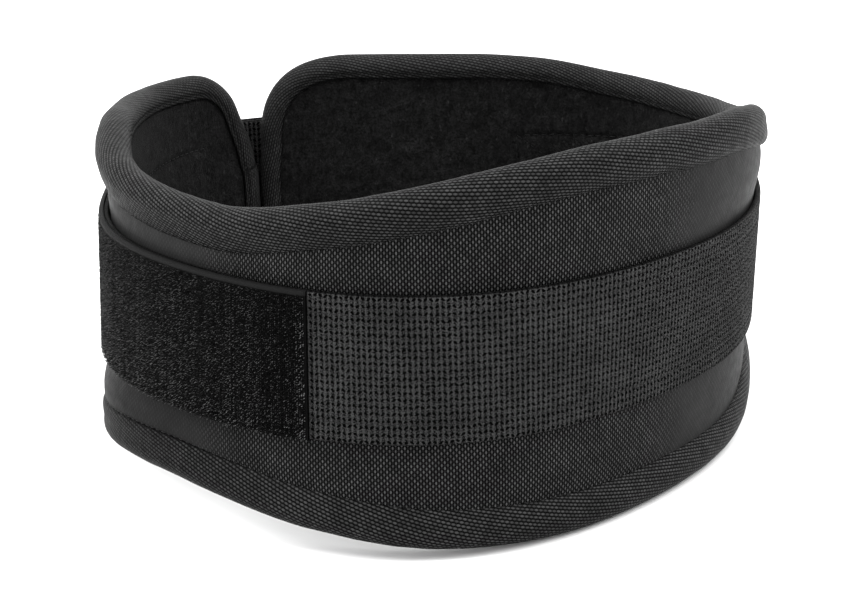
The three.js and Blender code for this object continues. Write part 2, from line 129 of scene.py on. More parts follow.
BAR_OUT = CLEARANCE + BUCKLE_BAR / 2
FOLD_OUT = BAR_OUT + BUCKLE_BAR / 2 + CLEARANCE + WEBBING_THICKNESS
DOUBLED_OUT = CLEARANCE + WEBBING_THICKNESS

# The weaves: spacing of the yarns along and across
NYLON_YARN = 1.0
WEBBING_COLUMN = 1.83
WEBBING_ROWS = 21
WEBBING_ROW = WEBBING_WIDTH / WEBBING_ROWS
RIB_SLANT = 13
RIB_PITCH = 1.2
RIB_PERIOD = 1.7

# The cover's weave is clear round the front's middle and at the back, and soft between: there its
# painted shade between the yarns is weaker, as painted light from the side lamps reaching into the weave
FRONT_MIDDLE = -77
FRONT_CLEAR = (76, 100)
BACK_CLEAR = (170, 200)
CLEAR_AT_SIDES = 0.15
SOFT_HEIGHT = 0.41

# How bright the cloths are: darkest and brightest, or a share
NYLON_SHADOW = 0.0002
COVER_SHADE = 0.056
# The binding is the same nylon as the cover; its lower shade is painted shade that tones down the light on
# the rim.
BINDING_SHADE = 0.038
LOW_LEFT_SHADE = 0.45
WEBBING_SHADES = (0.0003, 0.08)
HOOK_SHADES = (0.0005, 0.1)
THREAD_SHADES = (0.0015, 0.006)
FOAM_SHADES = (0.01, 0.03)
CLOUD_RANGE = (0.3, 0.7)


def table_value(ways, values, at):
    """The value of a short table at each place, smooth and flat between equal rows."""
    ways, values = np.array(ways, float), np.array(values, float)
    at = np.clip(at, ways[0], ways[-1])
    rise = np.diff(values) / np.diff(ways)
    before, after = rise[:-1], rise[1:]
    same = before * after > 0
    inner = np.where(same, 2 * before * after / np.where(same, before + after, 1), 0)
    slope = np.concatenate([[0], inner, [0]])
    i = np.clip(np.searchsorted(ways, at, side="right") - 1, 0, len(ways) - 2)
    span = ways[i + 1] - ways[i]
    t = (at - ways[i]) / span
    start = values[i] * (1 + 2 * t) + slope[i] * span * t
    end = values[i + 1] * (3 - 2 * t) - slope[i + 1] * span * (1 - t)
    return start * (1 - t) ** 2 + end * t**2


def plan_point(angle):
    share = 1
    for lobes, swell, toward in PLAN_LOBES:
        share = share + swell * np.cos(lobes * (angle - math.radians(toward)))
    return RING_RADIUS * share * np.cos(angle), RING_RADIUS * share * np.sin(angle)


def wall_lean(angle):
    return sum(lean * np.cos(lobes * (angle - math.radians(toward))) for lobes, lean, toward in WALL_LEAN)


PLAN_ANGLES = math.radians(OPENING_ANGLE) + np.linspace(0, TURN, PLAN_STEPS + 1)
PLAN_LENGTHS = np.concatenate([[0], np.cumsum(np.hypot(*np.diff(plan_point(PLAN_ANGLES))))])
PERIMETER = PLAN_LENGTHS[-1]
LEFT_END = -PERIMETER / 2 - BACK_OFFSET + END_GAP / 2
RIGHT_END = PERIMETER / 2 - BACK_OFFSET - END_GAP / 2
TAIL_BAR = RIGHT_END - BUCKLE_TO_END
ANCHOR_BAR = TAIL_BAR - BUCKLE_PITCH


def place(along, out, up):
    """Points in the part's frame for places in the flat pattern."""
    distance = (np.asarray(along) + BACK_OFFSET + PERIMETER / 2) % PERIMETER
    angle = np.interp(distance, PLAN_LENGTHS, PLAN_ANGLES)
    x, y = plan_point(angle)
    x1, y1 = plan_point(angle + NORMAL_STEP)
    x0, y0 = plan_point(angle - NORMAL_STEP)
    length = np.hypot(x1 - x0, y1 - y0)
    reach = out + wall_lean(angle) * (up - WEBBING_MIDDLE)
    x = x + (y1 - y0) / length * reach + RING_CENTRE[0]
    y = y - (x1 - x0) / length * reach + RING_CENTRE[1]
    return np.stack(np.broadcast_arrays(x, y, up), axis=-1)


def pad_edge(along, edge):
    """Height of the pad's top edge, rise, or bottom edge, drop."""
    along = np.asarray(along, float)
    left = table_value(PAD_WAY, PAD_EDGES["left_" + edge], along / LEFT_END)
    right = table_value(PAD_WAY, PAD_EDGES["right_" + edge], along / RIGHT_END)
    share = np.where(along < 0, left, right)
    if edge == "rise":
        return WEBBING_MIDDLE + BACK_RISE * share
    return WEBBING_MIDDLE - BACK_DROP * share


def wander(places, step, seed):
    """Smooth random values from -1 to 1 with a knot every step."""
    knots = np.random.default_rng(seed).uniform(-1, 1, 4096)
    at = np.asarray(places, float) / step
    i = np.floor(at).astype(int)
    t = at - i
    t = t * t * (3 - 2 * t)
    return knots[i % 4096] * (1 - t) + knots[(i + 1) % 4096] * t


def hump(away, width):
    """1 in the middle and falling off to both sides."""
    return np.exp(-((away / width) ** 2))


def smooth_step(value):
    t = np.clip(value, 0, 1)
    return t * t * (3 - 2 * t)


def corner_turns(corner, end, toward, edge):
    """One rounded corner in the flat pattern, from the pad's end to its top or bottom edge."""
    wide, high, power = corner[edge]
    turn = np.linspace(0, math.pi / 2, 60)
    along = end + toward * wide * (1 - np.cos(turn) ** (2 / power))
    into = -1 if edge == "rise" else 1
    return np.stack([along, pad_edge(along, edge) + into * high * (1 - np.sin(turn) ** (2 / power))], 1)


def corner_drop(corner, from_end, edge, inset):
    """How far a rounded corner lies inside the straight edge at a distance from the pad's end."""
    wide, high, power = corner[edge]
    short = np.clip(1 - (from_end - inset) / (wide - inset), 0, 1)
    return (high - inset) * (1 - (1 - short**power) ** (1 / power))


def end_shift(along, up):
    """The two ends lean on each other below the webbing's top edge, and the left one draws back
    above it."""
    low = smooth_step((MEETING_HEIGHT - up) / CLOSING_RISE)
    back = hump(up - MEETING_HEIGHT - BACK_ABOVE, BACK_REACH)
    near_left, near_right = hump(along - LEFT_END, END_REACH), hump(RIGHT_END - along, END_REACH)
    return near_left * (LEFT_BACK * back - LEFT_CLOSES * low) + near_right * RIGHT_CLOSES * low


def edge_path(step):
    """The pad's outline in the flat pattern, evenly spaced: top edge from left to right, right end,
    bottom edge from right to left, left end. Returns the points and their directions into the pad."""
    parts = []
    for edge in ("rise", "drop"):
        first = LEFT_END + LEFT_CORNER[edge][0] + 1
        middle = np.arange(first, RIGHT_END - RIGHT_CORNER[edge][0], 1.0)
        left = corner_turns(LEFT_CORNER, LEFT_END, 1, edge)
        right = corner_turns(RIGHT_CORNER, RIGHT_END, -1, edge)
        parts.append(np.concatenate([left, np.stack([middle, pad_edge(middle, edge)], 1), right[::-1]]))
    points = np.concatenate([densely(parts[0]), densely(parts[1][::-1]), parts[0][:1]])
    points = densely(points)
    points[:, 0] += end_shift(points[:, 0], points[:, 1])
    lengths = path_lengths(points)
    count = round(lengths[-1] / step)
    points = along_path(points, lengths, np.arange(count) * lengths[-1] / count)
    tangent = np.roll(points, -1, 0) - np.roll(points, 1, 0)
    tangent /= np.hypot(*tangent.T)[:, None]
    return points, np.stack([tangent[:, 1], -tangent[:, 0]], 1)


def path_lengths(points):
    return np.concatenate([[0], np.cumsum(np.linalg.norm(np.diff(points, axis=0), axis=1))])


def along_path(points, lengths, at):
    return np.stack([np.interp(at, lengths, points[:, k]) for k in range(points.shape[1])], 1)


def densely(points):
    lengths = path_lengths(points)
    return along_path(points, lengths, np.linspace(0, lengths[-1], round(lengths[-1] / 0.5)))


EDGE, EDGE_INWARD = edge_path(1.4)


def inset_of(along, up):
    """Distance from the pad's edge of each place in the flat pattern."""
    places = np.stack([along.ravel(), up.ravel()], 1)
    found = np.empty(len(places))
    for start in range(0, len(places), 4000):
        part = places[start:start + 4000]
        found[start:start + 4000] = np.sqrt(((part[:, None] - EDGE[None]) ** 2).sum(2).min(1))
    return found.reshape(along.shape)


def pad_columns(inset, step):
    """Places along the pad for a grid's columns, closer together at its ends, with the heights of its
    top and bottom there."""
    wide = max(LEFT_CORNER["rise"][0], RIGHT_CORNER["rise"][0], LEFT_CORNER["drop"][0]) - inset
    over = inset + wide * (1 - np.cos(np.linspace(0, math.pi / 2, 19)))
    middle = np.arange(LEFT_END + inset + wide + step, RIGHT_END - inset - wide - step / 2, step)
    along = np.concatenate([LEFT_END + over, middle, (RIGHT_END - over)[::-1]])
    heights = []
    for edge, into in (("rise", -1), ("drop", 1)):
        drop = np.maximum(
            corner_drop(LEFT_CORNER, along - LEFT_END, edge, inset),
            corner_drop(RIGHT_CORNER, RIGHT_END - along, edge, inset),
        )
        heights.append(pad_edge(along, edge) + into * (inset + drop))
    return along, *heights


def closed_up(along, up):
    """A grid of places from its columns and heights, with the pad's ends drawn together."""
    along = np.repeat(along[:, None], up.shape[1], 1)
    return along + end_shift(along, up), up


def pad_grid(inset, step, shares):
    """A grid of places over the pad inside an inset: columns along it, rows from top to bottom."""
    along, top, bottom = pad_columns(inset, step)
    up = top[:, None] + (bottom - top)[:, None] * np.asarray(shares)[None]
    return closed_up(along, up)


def put(name, data):
    made = bpy.data.objects.new(name, data)
    bpy.context.scene.collection.objects.link(made)
    return made


def object_from(name, points, faces, flat, material, slot, nodes=()):
    """A smooth mesh piece that rides on the belt and stands for CAD nodes. Flat is each vertex's place
    in its cloth, in millimetres, kept as the UV map that the weaves read."""
    mesh = bpy.data.meshes.new(name)
    mesh.from_pydata((points * MM).tolist(), [], faces.tolist())
    cloth = mesh.uv_layers.new(name="Cloth")
    corners = np.empty(len(mesh.loops), np.int32)
    mesh.loops.foreach_get("vertex_index", corners)
    cloth.data.foreach_set("uv", flat[corners].astype(np.float32).ravel())
    mesh.polygons.foreach_set("use_smooth", np.ones(len(mesh.polygons), bool))
    mesh.materials.append(material)
    made = put(name, mesh)
    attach(made, "root")
    if nodes:
        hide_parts(*nodes)
    return made


def strip(a, b):
    """Quads between two rows of vertex numbers."""
    return np.stack([a[:-1], a[1:], b[1:], b[:-1]], 1)


def slab(front, back, flat, ring=False):
    """Points, quads and flat places of a closed layer between two grids. A ring has no ends."""
    n, m = front.shape[:2]
    points = np.concatenate([front.reshape(-1, 3), back.reshape(-1, 3)])
    f = np.arange(n * m).reshape(n, m)
    b = f + n * m
    if ring:
        f, b = np.concatenate([f, f[:1]]), np.concatenate([b, b[:1]])
    quads = [strip(f[:, j], f[:, j + 1]) for j in range(m - 1)]
    quads += [strip(b[:, j + 1], b[:, j]) for j in range(m - 1)]
    quads += [strip(b[:, 0], f[:, 0]), strip(f[:, -1], b[:, -1])]
    if not ring:
        quads += [strip(f[0], b[0]), strip(b[-1], f[-1])]
    flat = flat.reshape(-1, 2)
    return points, np.concatenate(quads), np.concatenate([flat, flat])


class Cloth:
    """A material's nodes, with short calls for sums of numbers over the flat cloth."""

    def __init__(self, name):
        self.material = bpy.data.materials.new(name)
        self.material.use_nodes = True
        self.tree = self.material.node_tree
        self.tree.nodes.clear()
        uv = self.node("ShaderNodeUVMap")
        uv.uv_map = "Cloth"
        self.flat = uv.outputs[0]
        parts = self.node("ShaderNodeSeparateXYZ")
        self.join(self.flat, parts.inputs[0])
        self.x, self.y = parts.outputs[0], parts.outputs[1]

    def node(self, kind, **settings):
        made = self.tree.nodes.new(kind)
        for key, value in settings.items():
            setattr(made, key, value)
        return made

    def join(self, source, socket):
        if isinstance(source, (int, float)):
            socket.default_value = source
        else:
            self.tree.links.new(source, socket)

    def sum(self, operation, *values):
        made = self.node("ShaderNodeMath", operation=operation)
        for socket, value in zip(made.inputs, values):
            self.join(value, socket)
        return made.outputs[0]

    def add(self, a, b):
        return self.sum("ADD", a, b)

    def less(self, a, b):
        return self.sum("SUBTRACT", a, b)

    def times(self, a, b):
        return self.sum("MULTIPLY", a, b)

    def turned(self, degrees):
        """The flat cloth's two directions turned by an angle."""
        c, s = math.cos(math.radians(degrees)), math.sin(math.radians(degrees))
        across = self.add(self.times(self.x, c), self.times(self.y, s))
        return across, self.less(self.times(self.y, c), self.times(self.x, s))

    def parity(self, whole):
        """0 for even whole numbers and 1 for odd ones."""
        return self.times(self.sum("FRACT", self.times(whole, 0.5)), 2)

    def dome(self, a, wide, b, high):
        """1 in the middle of an ellipse and 0 from its rim outwards."""
        a, b = self.sum("DIVIDE", a, wide), self.sum("DIVIDE", b, high)
        far = self.add(self.times(a, a), self.times(b, b))
        return self.sum("SQRT", self.sum("MAXIMUM", self.less(1, far), 0))

    def mix(self, share, a, b):
        made = self.node("ShaderNodeMix", data_type="FLOAT")
        self.join(share, made.inputs[0])
        self.join(a, made.inputs[2])
        self.join(b, made.inputs[3])
        return made.outputs[0]

    def cell(self, value, spacing):
        """Which cell a place is in, and how far it is from the cell's middle, in cells."""
        scaled = self.sum("DIVIDE", value, spacing)
        return self.sum("FLOOR", scaled), self.less(self.sum("FRACT", scaled), 0.5)

    def cloud(self, scale, detail=2.0, roughness=0.5, stretch=(1, 1), seed=0.0):
        """Noise over the flat cloth, from 0 to 1, with scale in blobs for each millimetre."""
        moved = self.node("ShaderNodeMapping")
        moved.inputs["Scale"].default_value = (scale * stretch[0], scale * stretch[1], 1)
        moved.inputs["Location"].default_value = (seed, seed * 1.7, seed * 0.3)
        self.join(self.flat, moved.inputs[0])
        made = self.node("ShaderNodeTexNoise")
        self.join(moved.outputs[0], made.inputs["Vector"])
        made.inputs["Scale"].default_value = 1
        made.inputs["Detail"].default_value = detail
        made.inputs["Roughness"].default_value = roughness
        return made.outputs[0]

    def chance(self, a, b, seed=0.0):
        """A random number from 0 to 1 for each pair of cells."""
        both = self.node("ShaderNodeCombineXYZ")
        self.join(a, both.inputs[0])
        self.join(b, both.inputs[1])
        both.inputs[2].default_value = seed
        made = self.node("ShaderNodeTexWhiteNoise", noise_dimensions="3D")
        self.join(both.outputs[0], made.inputs["Vector"])
        return made.outputs["Value"]

    def range(self, value, low, high, to_low, to_high):
        made = self.node("ShaderNodeMapRange")
        for socket, number in zip(made.inputs, (value, low, high, to_low, to_high)):
            self.join(number, socket)
        return made.outputs[0]

    def spread(self, cloud, to_low, to_high):
        """Noise, which seldom leaves its middle range, spread between two values."""
        return self.range(cloud, *CLOUD_RANGE, to_low, to_high)

    def shade(self, brightness, tint=(1, 1, 1)):
        """A grey of the given brightness, or a slight tint of it."""
        made = self.node("ShaderNodeCombineColor")
        for socket, share in zip(made.inputs, tint):
            self.join(self.times(brightness, share), socket)
        return made.outputs[0]

    def finish(self, color, roughness, height, relief, specular=0.2, sheen=0.0, metallic=0.0):
        """The surface. Relief is how many millimetres a height of 1 stands out."""
        bump = self.node("ShaderNodeBump")
        bump.inputs["Strength"].default_value = 1
        bump.inputs["Distance"].default_value = relief * MM
        self.join(height, bump.inputs["Height"])
        surface = self.node("ShaderNodeBsdfPrincipled")
        self.join(color, surface.inputs["Base Color"])
        self.join(roughness, surface.inputs["Roughness"])
        surface.inputs["Specular IOR Level"].default_value = specular
        surface.inputs["Metallic"].default_value = metallic
        surface.inputs["Sheen Weight"].default_value = sheen
        surface.inputs["Sheen Roughness"].default_value = 0.5
        self.join(bump.outputs[0], surface.inputs["Normal"])
        output = self.node("ShaderNodeOutputMaterial")
        self.join(surface.outputs[0], output.inputs[0])
        return self.material


def plain_weave(cloth, across, along, rib, period, wide, long):
    """Height of a plain weave: columns of raised floats that alternate from one to the next, over a
    lower weft. The nylon paints the low places darker, as painted shade."""
    column, fx = cloth.cell(across, rib)
    place_in = cloth.add(cloth.sum("DIVIDE", along, period), cloth.times(cloth.parity(column), 0.5))
    row, fy = cloth.cell(place_in, 1)
    under = cloth.cell(cloth.add(place_in, 0.5), 1)[1]
    warp = cloth.dome(fx, wide, fy, long)
    weft = cloth.times(cloth.dome(fx, 0.6, under, 0.18), 0.26)
    uneven = cloth.range(cloth.chance(column, row), 0, 1, 0.7, 1.15)
    return cloth.times(cloth.sum("MAXIMUM", warp, weft), uneven)


def left_part(cloth):
    """1 at the belt's left side and 0 from its front to the right, with the height of each place."""
    place_in = cloth.node("ShaderNodeSeparateXYZ")
    cloth.join(cloth.node("ShaderNodeTexCoord").outputs["Object"], place_in.inputs[0])
    return cloth.range(place_in.outputs[0], -0.05, -0.11, 0, 1), place_in.outputs[2]


def low_left(cloth):
    """The belt's lower left, where little light reaches, is a shade darker."""
    left, height = left_part(cloth)
    low = cloth.range(height, 0.06, 0.035, 0, 1)
    return cloth.range(cloth.times(left, low), 0, 1, 1, LOW_LEFT_SHADE)


def nylon(cloth, height, yarn_shade, edge=1.0):
    """Ballistic nylon over a height of weave, with a soft shine. Its colour is painted shade: darker the
    lower the weave, down to NYLON_SHADOW between the yarns.
    """
    worn = cloth.spread(cloth.cloud(0.06, 3), 0.85, 1.15)
    # Painted shade: the colour falls with the height, darkest between the yarns.
    bright = cloth.range(cloth.sum("POWER", height, 1.5), 0, 1, NYLON_SHADOW, yarn_shade)
    bright = cloth.times(cloth.times(bright, cloth.times(worn, low_left(cloth))), edge)
    shine = cloth.spread(cloth.cloud(0.3, 2, seed=4), 0.4, 0.5)
    return cloth.finish(cloth.shade(bright), shine, height, 0.28, specular=0.02)


def cover_nylon():
    """The cover's weave, upright, and softer where the belt bends round the sides, with a flatter bump and
    weaker painted shade between the yarns, as painted light from the side lamps.
    """
    cloth = Cloth("cover_nylon")
    height = plain_weave(cloth, cloth.x, cloth.y, NYLON_YARN, 2 * NYLON_YARN, 0.38, 0.34)
    from_front = cloth.sum("ABSOLUTE", cloth.less(cloth.x, FRONT_MIDDLE))
    front = cloth.range(from_front, *FRONT_CLEAR, 1, CLEAR_AT_SIDES)
    back = cloth.range(from_front, *BACK_CLEAR, CLEAR_AT_SIDES, 1)
    # Painted light: the softened weave at the sides has less painted shade between its yarns.
    height = cloth.mix(cloth.sum("MAXIMUM", front, back), SOFT_HEIGHT, height)
    return nylon(cloth, height, COVER_SHADE)


def binding_nylon():
    """The binding's weave runs aslant along the rim. Where either edge is sewn down it is painted dark,
    as painted shade in the groove there, wider at the belt's left.
    """
    cloth = Cloth("binding_nylon")
    along, across = cloth.turned(-RIB_SLANT)
    height = plain_weave(cloth, across, along, RIB_PITCH, RIB_PERIOD, 0.4, 0.5)
    length = path_lengths(rim_section())[-1]
    inside = cloth.range(cloth.y, 0.5 * length, 0.65 * length, 1, 0.6)
    height = cloth.mix(inside, 0.45, height)
    # Painted shade: dark lines in the grooves at the outer seam, wider at the left, and at the edge sewn to
    # the lining.
    groove = cloth.times(left_part(cloth)[0], 0.7)
    outer = cloth.range(cloth.less(cloth.y, groove), 0.5, 1.0, 0.03, 1)
    inner = cloth.range(cloth.y, length - 1.9, length - 1.0, 1, 0.2)
    return nylon(cloth, height, BINDING_SHADE, cloth.times(outer, inner))


def webbing_cloth():
    """Heavy webbing: ridges across it, between them slanted gaps that lean to and fro, and thin dark
    edges. The gaps, the dips between ridges and the edges are painted dark as painted shade."""
    cloth = Cloth("webbing_cloth")
    column, fx = cloth.cell(cloth.x, WEBBING_COLUMN)
    row, fy = cloth.cell(cloth.y, WEBBING_ROW)
    lean = cloth.range(cloth.parity(column), 0, 1, -0.3, 0.3)
    shift = cloth.range(cloth.chance(column, row, 3.0), 0, 1, -0.08, 0.08)
    slanted = cloth.add(cloth.add(fy, cloth.times(fx, lean)), shift)
    size = cloth.range(cloth.chance(column, row, 5.0), 0, 1, 0.7, 1.25)
    gap = cloth.times(cloth.dome(fx, 0.42, slanted, 0.22), size)
    ridge = cloth.sum("COSINE", cloth.times(fx, TURN))
    strands = cloth.sum("COSINE", cloth.times(cloth.add(slanted, cloth.times(fx, lean)), TURN * 2))
    uneven = cloth.range(cloth.chance(column, row), 0, 1, -0.12, 0.12)
    thread = cloth.spread(cloth.cloud(1.8, 3, 0.85, (1.2, 1)), -1.1, 1.1)
    height = cloth.add(cloth.times(ridge, -0.3), cloth.add(cloth.times(strands, -0.08), uneven))
    height = cloth.less(cloth.add(cloth.add(height, 0.5), thread), cloth.times(gap, 1.1))
    worn = cloth.spread(cloth.cloud(0.08, 3, seed=2), 0.85, 1.15)
    # Painted shade: the colour follows the height, dark in the gaps and between the ridges, and the thin
    # edges are darkened as the shadow along them.
    edge = cloth.range(cloth.sum("ABSOLUTE", cloth.less(cloth.y, WEBBING_WIDTH / 2)), 24.4, 24.8, 1, 0.12)
    bright = cloth.times(cloth.range(height, 0.05, 1, *WEBBING_SHADES), cloth.times(worn, edge))
    return cloth.finish(cloth.shade(bright), 0.5, height, 0.35, specular=0.02)


def felt_cloth():
    """Brushed lining: matted fibres, a clouded nap and specks of lint."""
    cloth = Cloth("felt_cloth")
    fibres = cloth.cloud(1.1, 4, 0.75)
    nap = cloth.cloud(0.12, 4, 0.65, seed=7)
    matted = cloth.cloud(0.45, 3, 0.65, (1, 0.7), seed=3)
    height = cloth.add(fibres, cloth.times(matted, 0.8))
    lint = cloth.range(cloth.cloud(0.8, 2, 0.5, (1, 0.5), seed=11), 0.66, 0.76, 0, 0.012)
    bright = cloth.times(cloth.spread(nap, 0.003, 0.0072), cloth.range(fibres, 0.32, 0.68, 0.1, 2.1))
    bright = cloth.times(bright, cloth.spread(matted, 0.35, 1.6))
    color = cloth.shade(cloth.add(bright, lint))
    return cloth.finish(color, 0.95, height, 0.6, specular=0.03, sheen=0.015)


def hook_ground():
    """The hook tape's ground: fine ribs across it, a plain selvage along its top and a sewn end."""
    cloth = Cloth("hook_ground")
    column, fx = cloth.cell(cloth.x, HOOK_COLUMN / 2)
    rib = cloth.sum("COSINE", cloth.times(fx, TURN / 2))
    fuzz = cloth.cloud(1.5, 3, 0.6)
    height = cloth.add(cloth.times(rib, 0.7), cloth.times(fuzz, 0.6))
    selvage = cloth.range(cloth.y, SELVAGE - TAPE_WIDTH / 2, SELVAGE - TAPE_WIDTH / 2 + 0.3, 1, 0)
    sewn = cloth.range(cloth.x, SEWN_END - 0.4, SEWN_END + 0.4, 0.15, 0)
    plain = cloth.sum("MAXIMUM", selvage, sewn)
    # Painted light: the bare selvage is painted lighter than the ground among the hooks; it has no hooks, and
    # the lighter tone also stands for the light its rolled top edge catches. The ground is darker between its
    # fine ribs as painted shade.
    bright = cloth.times(cloth.range(height, 0.2, 1.1, 0.2, 1), cloth.range(plain, 0, 1, 0.001, 0.012))
    return cloth.finish(cloth.shade(bright), 0.55, height, 0.25, specular=0.03)


def hook_plastic():
    """Hooks of nylon thread, some brighter than others. Their tips, whose places in the cloth lie TIP_MARK
    further across it, are painted bright as painted highlight and their bases dark as painted shade,
    and they are brighter near the tape's sewn end."""
    cloth = Cloth("hook_plastic")
    each = cloth.chance(cloth.sum("FLOOR", cloth.times(cloth.x, 40)), 1.0)
    bright = cloth.range(cloth.sum("POWER", each, 2), 0, 1, *HOOK_SHADES)
    # Painted highlight at the hooks' tips and painted shade at their bases.
    tip = cloth.range(cloth.y, 0.1 * TIP_MARK, 0.9 * TIP_MARK, 0.3, 1)
    near_end = cloth.range(cloth.x, -TAPE_START - 3.5, -TAPE_START - 1.5, 1, 2.2)
    bright = cloth.times(bright, cloth.times(tip, near_end))
    return cloth.finish(cloth.shade(bright), 0.35, cloth.cloud(3), 0.02, specular=0.02)


def sewing_thread():
    cloth = Cloth("sewing_thread")
    # The thread is very dark: its own black, and painted shade that makes the stitch rows read as dark
    # grooves. Its colour also follows the twist, darker in the twist's grooves as painted shade.
    twist = cloth.sum("SINE", cloth.times(cloth.add(cloth.x, cloth.times(cloth.y, 2)), TURN / 0.7))
    return cloth.finish(cloth.shade(cloth.range(twist, -1, 1, *THREAD_SHADES)), 0.42, twist, 0.05)


def foam_rubber():
    cloth = Cloth("foam_rubber")
    cells = cloth.cloud(2.0, 3)
    return cloth.finish(cloth.shade(cloth.spread(cells, *FOAM_SHADES)), 0.9, cells, 0.2)


def satin_steel():
    cloth = Cloth("satin_steel")
    lines = cloth.cloud(3.0, 3, 0.6, (0.08, 1))
    color = cloth.shade(cloth.spread(lines, 0.42, 0.55), (1, 1, 1.02))
    return cloth.finish(color, 0.32, lines, 0.02, specular=0.5, metallic=1.0)


def flat_area(along, up):
    """Area of a flat grid, in square metres."""
    height = np.abs(up[:, -1] - up[:, 0])
    across = np.abs(np.diff(along[:, 0]))
    return float((across * (height[1:] + height[:-1]) / 2).sum()) * MM * MM


def pad_layer(name, grid, surfaces, material, slot, node):
    """A layer of the pad between the two surfaces given over a grid of the flat pattern."""
    along, up = grid
    front, back = surfaces(along, up, inset_of(along, up))
    flat = np.stack([along, up], -1)
    made = slab(place(along, front, up), place(along, back, up), flat)
    return object_from(name, *made, material, slot, [node])


# Each swell: place along, above or below the webbing, height, and share of it that the rim has
SWELLS = ((-258, -1, 3.3, 0.2), (-267, 1, 0.8, 0.9), (97, 1, 1.3, -0.6))
SWELL_LENGTH = 60
SWELL_RISE = 14
SEAM_PINCH = 0.15


def pad_swell(along, up, inset):
    """How far the pad swells out beside the webbing where it bends round the sides."""
    found = 0
    reach = BINDING_REACH_OUTSIDE - RIM_RADIUS
    for middle, side, height, at_rim in SWELLS:
        beside = smooth_step((side * (up - WEBBING_MIDDLE) - WEBBING_WIDTH / 2) / SWELL_RISE)
        rim = at_rim + (1 - at_rim) * smooth_step((inset - RIM_RADIUS) / reach)
        found = found + height * hump(along - middle, SWELL_LENGTH) * beside * rim
    return found


def cover_surfaces(along, up, inset):
    """The outer cover stands a little proud between the webbing and the binding and is drawn in at
    both seams. Under the binding it lies low."""
    from_seam = inset - BINDING_REACH_OUTSIDE
    from_webbing = np.abs(up - WEBBING_MIDDLE) - WEBBING_WIDTH / 2
    a, b = np.maximum(from_seam, 0), np.maximum(from_webbing, 0)
    room = np.clip((a + b) / CROWN_NEEDS, 0, 1)
    crown = PAD_CROWN * room * 4 * a * b / np.maximum(a + b, 0.01) ** 2
    pucker = 0.1 * wander(along, 4, 21) * np.exp(-a / 5) * (from_seam > 0)
    soft = 0.18 * wander(along + 0.4 * up, 23, 5) * room
    pinched = np.where(from_seam > 0, hump(from_seam, 0.9), 1)
    front = COVER_OUT + crown + pucker + soft - SEAM_PINCH * pinched + pad_swell(along, up, inset)
    return front, front - COVER_THICKNESS


# The webbing's seams
SEAM_GROOVE = 1.1
SEAM_UP = WEBBING_WIDTH / 2 - 7
RIGHT_SEAM = RIGHT_END - 109.5
LEFT_SEAM = LEFT_END + 27
BOX_LENGTH = 49


def seam_depth(along, up):
    """How near each place is to the webbing's seams, from 0 to 1: two long rows and a box with a
    cross at the right end."""
    rows = np.abs(np.abs(up - WEBBING_MIDDLE) - SEAM_UP)
    beyond = np.maximum(np.maximum(LEFT_SEAM - along, along - RIGHT_SEAM), 0)
    found = np.hypot(rows, beyond)
    for at in (LEFT_SEAM, RIGHT_SEAM, RIGHT_SEAM - BOX_LENGTH):
        outside = np.maximum(np.abs(up - WEBBING_MIDDLE) - SEAM_UP, 0)
        found = np.minimum(found, np.hypot(along - at, outside))
    run = (along - (RIGHT_SEAM - BOX_LENGTH)) / BOX_LENGTH
    for side in (1, -1):
        rise = side * (2 * run - 1) * SEAM_UP
        across = np.abs(up - WEBBING_MIDDLE - rise) / math.hypot(1, 2 * SEAM_UP / BOX_LENGTH)
        found = np.minimum(found, np.where((run > 0) & (run < 1), across, 99))
    return hump(found, SEAM_GROOVE)


def lining_surfaces(along, up, inset):
    """The lining is drawn in along the webbing's seams and softly uneven elsewhere."""
    uneven = 0.22 * wander(along + 0.7 * up, 9, 31) + 0.16 * wander(up - 0.5 * along, 6, 32)
    full = smooth_step((inset - LINING_EDGE) / 8)
    inner = PAD_IN - uneven * full + 0.9 * seam_depth(along, up)
    return inner + LINING_THICKNESS, inner


def lining_grid():
    """The lining's grid, with rows at fixed heights close to the webbing's two long seams."""
    along, top, bottom = pad_columns(LINING_EDGE, 1.6)
    near = np.concatenate([np.linspace(-3, 3, 9) + side * SEAM_UP for side in (-1, 1)])
    between = np.linspace(-SEAM_UP + 4.5, SEAM_UP - 4.5, 9)
    middle = np.sort(np.concatenate([near, between]))[::-1]
    limit = middle[0]
    fits = np.clip(np.minimum(top - WEBBING_MIDDLE, WEBBING_MIDDLE - bottom) / (limit + 4), 0, 1)
    inner = WEBBING_MIDDLE + fits[:, None] * middle[None]
    way = np.linspace(0, 1, 14)[None, :-1]
    over = top[:, None] + (inner[:, :1] - top[:, None]) * way
    under = bottom[:, None] + (inner[:, -1:] - bottom[:, None]) * way
    up = np.concatenate([over, inner, under[:, ::-1]], 1)
    return closed_up(along, up)


def foam_surfaces(along, up, inset):
    """The foam ends in a round bead inside the padded rim."""
    bead = RIM_RADIUS - BINDING_THICKNESS - 0.5
    half = np.sqrt(np.maximum(bead**2 - np.maximum(RIM_RADIUS - inset, 0) ** 2, 0.04))
    t = smooth_step((inset - RIM_RADIUS) / 4.4)
    front = (RIM_CENTRE + half) * (1 - t) + FOAM_OUT * t
    back = (RIM_CENTRE - half) * (1 - t) + (FOAM_OUT - FOAM_THICKNESS) * t
    return front + pad_swell(along, up, inset), back


